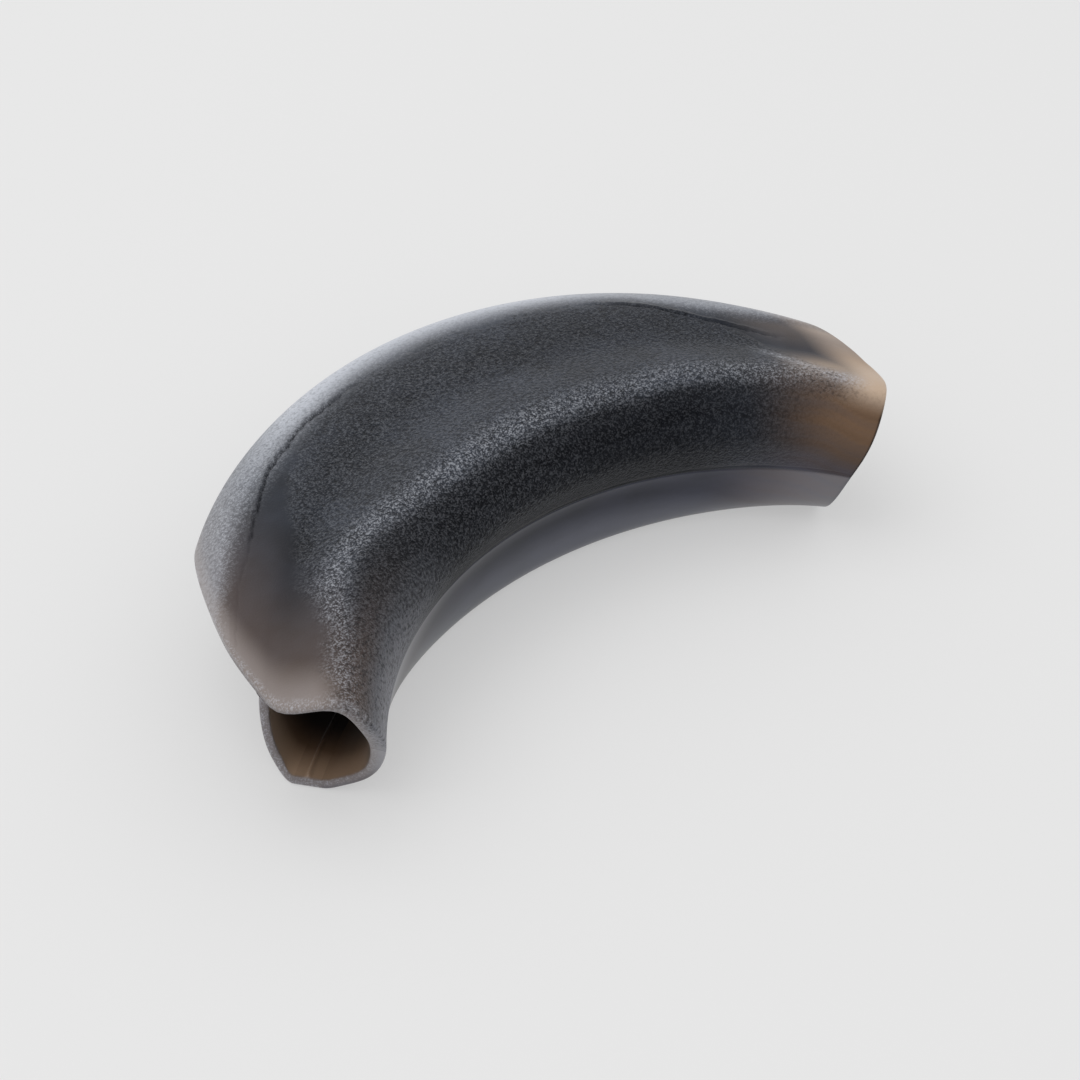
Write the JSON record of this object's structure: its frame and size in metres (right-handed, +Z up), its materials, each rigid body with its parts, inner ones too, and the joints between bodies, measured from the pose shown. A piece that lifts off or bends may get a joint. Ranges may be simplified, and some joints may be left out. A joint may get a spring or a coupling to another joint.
{
  "type": "basin neck rest",
  "caption": "Curved hollow elastomer neck rest for a shampoo basin, with a grained saddle, a smooth tube open at both ends and an overhanging drip flap.",
  "frame": {"origin": "on the surface that the rest lies on, under the middle of its bounding box", "axes": "+Z up; +X from end to end; +Y from the concave front to the convex back with the drip flap"},
  "size_m": [0.2388, 0.1343, 0.0618],
  "materials": {
    "grained_pad": "fine frosted grain over smoky black translucent elastomer",
    "smooth_wall": "satin smooth smoky elastomer, browner where light comes through",
    "frosted_rim": "frosted smoky elastomer, paler where it is thin"
  },
  "bodies": {
    "root": {"neck_saddle": "grained_pad", "front_band": "smooth_wall", "tube_floor": "smooth_wall", "back_wall": "smooth_wall", "outer_bead": "frosted_rim", "drip_flap": "frosted_rim"}
  },
  "joints": []
}
